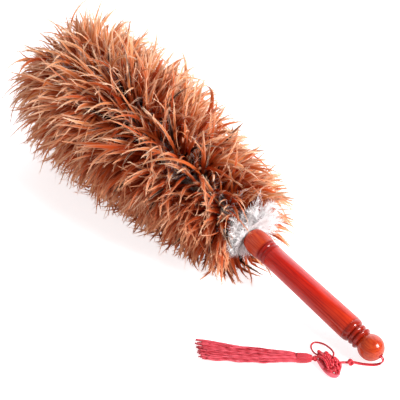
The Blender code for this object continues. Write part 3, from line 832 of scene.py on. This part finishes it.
def root_down(rng, spine, along, turn, kept, filler, down_share):
    """Down at the roots of some feathers, and further out on spots of short ones."""
    count = len(along)
    spot = filler & (NOD(along * 2.1, turn) > 0.0)
    fluffy = kept & (spot | (rng.random(count) < down_share))
    pale = 0.55 * SHADE(along * 1.7, turn) + rng.normal(scale=0.12, size=count) > -0.2
    shades = np.where(pale, rng.uniform(0.0, 0.04, count), rng.uniform(0.06, 0.11, count))
    spotted, spine = spot[fluffy, None], spine[fluffy]
    steps = zip(ROOT_PLUME, SPOT_PLUME)
    stems, ends = (np.where(spotted, spine[:, far], spine[:, near]) for near, far in steps)
    return down_arrays(rng, stems, ends, ROOT_BARBS, shades[fluffy], np.full(len(stems), 0.5))


def make_feathers(
    name, node, rng, along, turn, slope, shares, material, down_share=0.2, back_curl=0.0, stretch=0.0
):
    """One row of feathers with down at the roots."""
    count = len(along)
    radial = outward(turn)
    tangent = outward(turn + pi / 2)
    starts = on_axis(along) + radial * CORE_RADIUS
    signed = from_parting(along, turn)
    hand = np.where(signed + rng.normal(scale=PARTING_MIX, size=count) < 0, -1.0, 1.0)
    part = hand * PARTING_LEAN * np.exp(-((signed / PARTING_WIDTH) ** 2))
    filler = (np.abs(signed) < FILLER_WIDTH) & (rng.random(count) < FILLER_SHARE)
    part = np.where(filler, 0.2 * part, part) + 0.26 * SWAY(along, turn)
    nod = np.where(filler, 0.6, 1.0) * slope + 0.24 * NOD(along, turn)
    headings = unit(radial + nod[:, None] * TIPWARD + part[:, None] * tangent)
    jitter = by_line(signed, JITTERS, JITTER_TURNS)
    headings = headings + rng.normal(size=(count, 3)) * jitter[:, None]
    limp = rng.uniform(*LIMPNESS, count) * by_line(signed, LIMP_FACTORS)
    curls = rng.normal(size=(count, 3)) * by_line(signed, CURLS)[:, None] - back_curl * TIPWARD
    wisp = ~filler & (rng.random(count) < np.interp(along, WISP_ALONG, WISP_SHARES))
    shares = np.where(wisp, rng.uniform(*WISP_REACH, count), shares)
    shares = np.where(filler, FILLER_REACH * shares, shares) * (1 + stretch)
    heavy = np.interp(along, HEAVY_ALONG, HEAVY_SHARE)
    shares = shares * (1 + heavy * np.cos(turn - HEAVY_AND_LIT_TURN))
    longest = np.where(filler, FILLER_LONGEST, by_line(signed, LONGEST)) * MM
    spine = grow_to(shares, starts, headings, limp, curls, longest)
    level, away = from_axis(spine)
    clear = np.interp(np.cos(turn - TOP_TURN), (0.0, 1.0), COLLAR_CLEAR_RADII)[:, None]
    kept = ~((level < COLLAR_CLEAR_ALONG) & (away < clear)).any(1)
    flats = unit(-0.5 * TIPWARD + np.array((0, 0, 0.8)) + rng.normal(scale=0.45, size=(count, 3)))
    widths = np.where(wisp, rng.uniform(*WISP_WIDTHS, count), rng.uniform(*WIDTHS, count)) * MM
    widths = widths * by_line(signed, WIDTH_FACTORS)
    tones = feather_tones(rng, along, turn, filler)
    parts = vane_arrays(rng, spine[kept], flats[kept], widths[kept], tones[kept])
    parts.append(root_down(rng, spine, along, turn, kept, filler, down_share))
    made = joined_object(name, parts, material, "feather")
    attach(made, "duster")
    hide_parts(node)


def feather_shares(rng, count):
    """How far out each feather reaches: most to the outer surface, the rest to below it."""
    outer = rng.random(count) < OUTER_SHARE
    return np.where(outer, rng.uniform(0.93, 1.08, count), rng.uniform(0.68, 0.93, count))


def make_course(number, root, next_root, material):
    """A row tied between two roots. The first one reaches back over the down ring."""
    rng = np.random.default_rng(100 + number)
    rim = 2 * pi * float(head_radius(np.array((root + next_root) / 2)))
    count = round(rim / RIM_SPACING)
    turn = 2 * pi * (np.arange(count) + rng.uniform(-0.6, 0.6, count)) / count
    along = rng.uniform(root, next_root, count)
    slope = feather_slope(along) + rng.normal(scale=0.12, size=count)
    extras = {}
    if number == 1:
        backward = 0.5 - 0.5 * np.cos(turn - TOP_TURN)
        slope += 0.14 - 0.7 * backward
        extras = {"down_share": 0.6, "back_curl": 12.0, "stretch": 0.14 * backward}
    name, node = f"feathers_{number:02d}", f"feather_course_{number:02d}"
    shares = feather_shares(rng, count)
    make_feathers(name, node, rng, along, turn, slope, shares, material, **extras)


def make_tip(material):
    """The last row: a fan over the end of the core."""
    rng = np.random.default_rng(200)
    spread = np.arccos(rng.uniform(cos(TIP_SPREAD), 1.0, TIP_FEATHERS))
    turn = rng.uniform(0, 2 * pi, TIP_FEATHERS)
    along = rng.uniform(LAST_ROOT - 8 * MM, LAST_ROOT + 6 * MM, TIP_FEATHERS)
    slope = 1 / np.tan(np.maximum(spread, radians(5)))
    shares = feather_shares(rng, TIP_FEATHERS)
    make_feathers("feathers_tip", "tip_tuft", rng, along, turn, slope, shares, material)


def make_down_ring(material):
    """White down between the collar and the first feathers, painted greyer on its shaded underside."""
    rng = np.random.default_rng(300)
    count = RING_PLUMES
    turn = 2 * pi * (np.arange(count) + rng.uniform(-0.5, 0.5, count)) / count
    along = rng.uniform(RIM_ALONG + 2 * MM, FIRST_ROOT, count)
    lean = np.interp(along, (RIM_ALONG, FIRST_ROOT), RING_LEAN)
    heading = outward(turn) + lean[:, None] * TIPWARD + rng.normal(scale=0.16, size=(count, 3))
    stems = on_axis(along) + outward(turn) * RING_STEM_RADIUS
    below = 0.5 - 0.5 * np.cos(turn - TOP_TURN)
    lengths = rng.uniform(*RING_LENGTHS, count) * MM * (1 - 0.55 * below)
    ends = stems + unit(heading) * lengths[:, None]
    # Grey patches come in sectors at random and, as painted shade, more on the underside.
    grey_and_painted_shade = 0.34 + 0.28 * np.sin(3 * turn + 0.6) + 0.5 * below + rng.normal(scale=0.2, size=count)
    shades = rng.uniform(0.2, 1.0, count)
    points, *rest = down_arrays(rng, stems, ends, RING_BARBS, shades, grey_and_painted_shade)
    ring = joined_object("down_ring", [(keep_off_collar(points), *rest)], material, "feather")
    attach(ring, "duster")
    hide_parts("down_ruff")


# Cord and tassel


def strand_path(offset):
    """The strands' shared route, moved sideways by offset millimetres."""
    route = np.array(STRAND_ROUTE)
    run = np.gradient(route, axis=0)
    run[:LEVEL_POINTS] = (1, 0, 0)
    across = unit(np.stack((-run[:, 1], run[:, 0], np.zeros(len(run))), 1))
    across *= np.where(across[:, 1:2] < 0, -1, 1)
    return from_ball(smooth_route(route + offset * across, 0.6))


def make_strands(material, knot):
    """Two strands leave the ball, drop to the floor and run to the small knot."""
    # Painted light and shade: strand_left gets a lighter tone as if lit, strand_right a darker one as
    # if shaded.
    for name, node, offset, tone in (
        ("strand_left", "cord_strand_left", -STRAND_OFFSET, 0.75),
        ("strand_right", "cord_strand_right", STRAND_OFFSET, 0.35),
    ):
        path = strand_path(offset)
        strand = thread_object(name, [tube_arrays(path, STRAND_RADIUS * MM, 14, tone)], material)
        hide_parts(node)
        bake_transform(strand)


def cord_arrays(route, radius, tone, sides=12):
    """A round cord along a route, all in millimetres."""
    return tube_arrays(from_ball(smooth_route(route, 0.6)), radius * MM, sides, tone)


def make_rear_loop(material):
    tucked = [REAR_LOOP_ENDS[0], *REAR_LOOP_ROUTE, REAR_LOOP_ENDS[1]]
    path = from_ball(smooth_route(tucked, 0.7))
    loop = thread_object("rear_ear_loop", [tube_arrays(path, LOOP_RADIUS * MM, 14, 0.4)], material)
    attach(loop, "pendant")
    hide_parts("rear_knot_loop")


def knot_path(wraps, lobes, sizes, inside, centre, heading, lift, phase=0.0):
    """A closed braid, wraps times round with lobes crossings, inside an oval of sizes."""
    angle = np.linspace(0, 2 * pi * wraps, 60 * wraps + 1)
    weave = angle * lobes / wraps + phase
    radius = (1 + inside) / 2 + (1 - inside) / 2 * np.cos(weave)
    height = 0.5 * np.sin(2 * weave) + lift * (1 - radius)
    local = np.stack((radius * np.cos(angle), radius * np.sin(angle), height), 1) * sizes
    turn = np.array(((cos(heading), -sin(heading), 0), (sin(heading), cos(heading), 0), (0, 0, 1)))
    return from_ball(np.asarray(centre) + local @ turn.T)


def braid_arrays(radius, tone, *shape):
    return tube_arrays(knot_path(*shape), radius * MM, 12, tone, closed=True)


def make_small_knot(material):
    sizes = [size - SMALL_KNOT_CORD for size in SMALL_KNOT_SIZES]
    shape = 2, 3, sizes, 0.25, SMALL_KNOT_CENTRE, SMALL_KNOT_HEADING, 0.3
    parts = [braid_arrays(SMALL_KNOT_CORD, 0.6, *shape), cord_arrays(LINK_ROUTE, LINK_CORD, 0.5)]
    knot = thread_object("small_knot_woven", parts, material)
    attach(knot, "pendant")
    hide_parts("small_knot", "link_cord")
    return knot


def make_cloverleaf(material):
    """Bunched loops of cord, and three strands over them that run to the tassel."""
    parts = []
    for wraps, lobes, scale, inside, height, shift, phase, radius, tone in WHORLS:
        sizes = [scale * size - radius for size in CLOVERLEAF_SIZES[:2]] + [height]
        centre = np.add(CLOVERLEAF_CENTRE, shift)
        shape = wraps, lobes, sizes, inside, centre, CLOVERLEAF_HEADING, 0.3, phase
        parts.append(braid_arrays(radius, tone, *shape))
    for aside, tone in ((-2.2, 0.7), (0.0, 0.35), (2.2, 0.6)):
        bridge = [(BEND_AXIS[0] + 0.6, BEND_AXIS[1] + 0.8 + 0.5 * aside, NECK_KNOT_LEVEL)]
        bridge += [(x, y + aside, z) for x, y, z in BRIDGE_ROUTE]
        parts.append(cord_arrays(bridge, BRIDGE_CORD, tone))
    knot = thread_object("cloverleaf_knot_woven", parts, material)
    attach(knot, "pendant")
    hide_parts("cloverleaf_knot")


def make_front_band(material):
    path = from_ball(smooth_route(FRONT_BAND_ROUTE, 0.7))
    swell = np.sin(pi * np.linspace(0, 1, len(path)))
    # A high tone keeps the band near its pale pink, the painted highlight.
    tube = tube_arrays(path, (1.2 + 1.1 * swell) * MM, 20, 0.85, flatten=0.86)
    band = thread_object("front_satin_band", [tube], material)
    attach(band, "pendant")
    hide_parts("front_knot_band")


def make_tassel_cap(material):
    neck = (*BEND_AXIS, NECK_KNOT_LEVEL)
    core = [np.add(neck, (1.4, 1.8, 0)), neck, WRAP_ROUTE[1]]
    ring = braid_arrays(NECK_RING_CORD, 0.6, 3, 4, NECK_RING_SIZES, 0.4, neck, 0.0, 0.4)
    parts = [cord_arrays(core, NECK_CORD, 0.3, 14), ring]
    cap = thread_object("tassel_neck_knot", parts, material)
    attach(cap, "tassel")
    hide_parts("tassel_cap")


def make_tassel_wrap(material):
    """A neck wound with fine thread, over a solid core."""
    route = smooth_route(WRAP_ROUTE, 0.35)
    shares = np.linspace(0, 1, len(route))
    radii = np.interp(shares, np.linspace(0, 1, len(WRAP_RADII)), WRAP_RADII)
    core = tube_arrays(from_ball(route), (radii - WINDING_RADIUS) * MM, 24, 0.3)
    along = np.linspace(0.0, 1.0, WINDINGS * WINDING_SIDES)
    centre = points_at(along, shares, route)
    away = np.interp(along, shares, radii) - WINDING_RADIUS
    across, above = level_frame(centre)
    angle = 2 * pi * np.arange(len(along)) / WINDING_SIDES
    ring = np.cos(angle)[:, None] * across + np.sin(angle)[:, None] * above
    wound = tube_arrays(from_ball(centre + away[:, None] * ring), WINDING_RADIUS * MM, 6, 0.6)
    wrap = thread_object("tassel_wound_neck", [core, wound], material)
    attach(wrap, "tassel")
    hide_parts("tassel_wrap")


def make_tassel_threads(material):
    """Wavy threads that spread from inside the wound neck to ragged ends."""
    rng = np.random.default_rng(400)
    route = smooth_route([WRAP_ROUTE[-2], *SKIRT_ROUTE], 2.0)
    shares = np.linspace(0, 1, len(route))
    stations = np.linspace(0, 1, len(SKIRT_ROUTE) + 1)
    wide = np.interp(shares, stations, [NECK_HALF_WIDTH, *SKIRT_HALF_WIDTHS])
    high = np.interp(shares, stations, [NECK_HALF_HEIGHT, *SKIRT_HALF_HEIGHTS])
    across = level_frame(route)[0]
    loose = np.clip((shares - 0.06) / 0.3, 0, 1)
    parts = []
    for k in range(THREADS):
        ring, angle = sqrt((k + 0.5) / THREADS), k * pi * (3 - sqrt(5))
        thread = rng.uniform(*THREAD_RADII)
        bend, lift, turns = rng.uniform(0.3, 1.2), rng.uniform(0.1, 0.5), rng.uniform(9, 30)
        phase = rng.uniform(0, 2 * pi)
        sideways = ring * cos(angle) * (wide - thread + 0.8)
        sideways = sideways + bend * loose * np.sin(shares * turns + phase)
        sideways = sideways + rng.normal(scale=1.3) * shares**2
        path = route + sideways[:, None] * across
        upward = ring * sin(angle) * (high - thread)
        upward = upward + lift * loose * np.sin(shares * turns * 0.8 + 2 * phase)
        path[:, 2] = np.maximum(path[:, 2] + upward, thread + 0.1)
        slant = 0.05 * cos(angle) * ring
        last = round(len(path) * (rng.uniform(*THREAD_ENDS) + slant))
        tone = float(rng.uniform(0.0, 1.0))
        parts.append(tube_arrays(from_ball(path[:last]), thread * MM, 7, tone))
    skirt = thread_object("tassel_threads", parts, material)
    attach(skirt, "tassel")
    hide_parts("tassel_skirt")


# Carried-over CAD nodes, studio and camera


def dress_hidden_nodes():
    """Hidden pieces keep their CAD shape and get better materials."""
    cane, thread, glued = (plain_material(*look) for look in HIDDEN_LOOKS)
    for name, node in frame["nodes"].items():
        if name == "core_rod":
            node.data.materials[0] = cane
        elif name.endswith("binding") or name.startswith("course_binding"):
            node.data.materials[0] = thread
        elif name == "cord_anchor_knot":
            node.data.materials[0] = glued


def aim(item, place, target):
    item.location = place
    item.rotation_euler = (Vector(target) - Vector(place)).to_track_quat("-Z", "Y").to_euler()


def add_key():
    """One large softbox from the front right."""
    light = bpy.data.lights.new("key_softbox", "AREA")
    light.shape = "RECTANGLE"
    light.size, light.size_y = KEY_WIDTH, KEY_HEIGHT
    light.energy = KEY_POWER
    key = bpy.data.objects.new("key_softbox", light)
    bpy.context.scene.collection.objects.link(key)
    aim(key, KEY_DISTANCE * unit(KEY_DIRECTION), KEY_TARGET)


def make_world():
    """Dim all round, with a soft glow behind the duster and a faint one from the left."""
    nodes = Nodes(bpy.data.worlds.new("studio"), "Background")
    bpy.context.scene.world = nodes.owner
    place = nodes.add("ShaderNodeTexCoord").outputs["Generated"]
    glows = []
    for direction, edge, full, strength in GLOWS:
        towards = tuple(unit(direction))
        facing = nodes.add("ShaderNodeVectorMath", place, towards, operation="DOT_PRODUCT")
        glows.append(nodes.spread(facing.outputs["Value"], edge, full, AMBIENT, strength))
    strength = nodes.math("MAXIMUM", *glows)
    nodes.put(nodes.shader.inputs["Strength"], strength)
    nodes.put(nodes.shader.inputs["Color"], nodes.ramp(strength, [(AMBIENT, WARM), (1.0, COOL)]))


def make_studio():
    nodes = Nodes(bpy.data.materials.new("pale_floor"))
    extra = {"Emission_Color": FLOOR_GLOW_COLOUR, "Emission_Strength": FLOOR_GLOW}
    pale = nodes.surface(FLOOR_COLOUR, 0.9, **extra)
    corners = FLOOR_SIZE * np.array(((-1, -1, 0), (1, -1, 0), (1, 1, 0), (-1, 1, 0)))
    mesh_object("floor", corners, [np.arange(4)[None]], pale)
    make_world()
    add_key()
    bpy.context.scene.view_settings.view_transform = "Standard"


def make_camera():
    level, rise = cos(VIEW_ELEVATION), sin(VIEW_ELEVATION)
    back = Vector((sin(VIEW_AZIMUTH) * level, -cos(VIEW_AZIMUTH) * level, rise))
    data = bpy.data.cameras.new("camera")
    data.lens = LENS_MM
    data.sensor_width = 36.0
    camera = bpy.data.objects.new("camera", data)
    bpy.context.scene.collection.objects.link(camera)
    aim(camera, Vector(VIEW_TARGET) + VIEW_DISTANCE * back, VIEW_TARGET)
    bpy.context.scene.camera = camera


make_camera()
CORD = satin_material("satin_cord", (0.30, 0.002, 0.005), (0.78, 0.050, 0.075), 2.2, 0.28)
# The band's pale pink is painted highlight: the satin ribbon's strong sheen put into its colour.
BAND = satin_material("satin_band_painted_highlight", (0.60, 0.03, 0.06), (0.95, 0.22, 0.28), 60.0, 0.26)
WRAP = satin_material("satin_wrap_fine", (0.42, 0.008, 0.018), (0.80, 0.075, 0.105), 1.6, 0.28)
# The yarn's bright pink is partly its own colour and partly painted highlight of its sheen.
THREAD = satin_material("tassel_yarn", (0.42, 0.004, 0.012), (0.92, 0.15, 0.20), 9.0, 0.30)
make_strands(CORD, make_small_knot(CORD))
make_rear_loop(CORD)
make_cloverleaf(CORD)
make_front_band(BAND)
make_tassel_cap(CORD)
make_tassel_wrap(WRAP)
make_tassel_threads(THREAD)
make_handle()
FEATHER = feather_material()
roots = np.linspace(FIRST_ROOT, LAST_ROOT, COURSES + 1)
for number, (root, next_root) in enumerate(zip(roots, roots[1:]), 1):
    make_course(number, root, next_root, FEATHER)
make_tip(FEATHER)
make_down_ring(down_material())
dress_hidden_nodes()
make_studio()
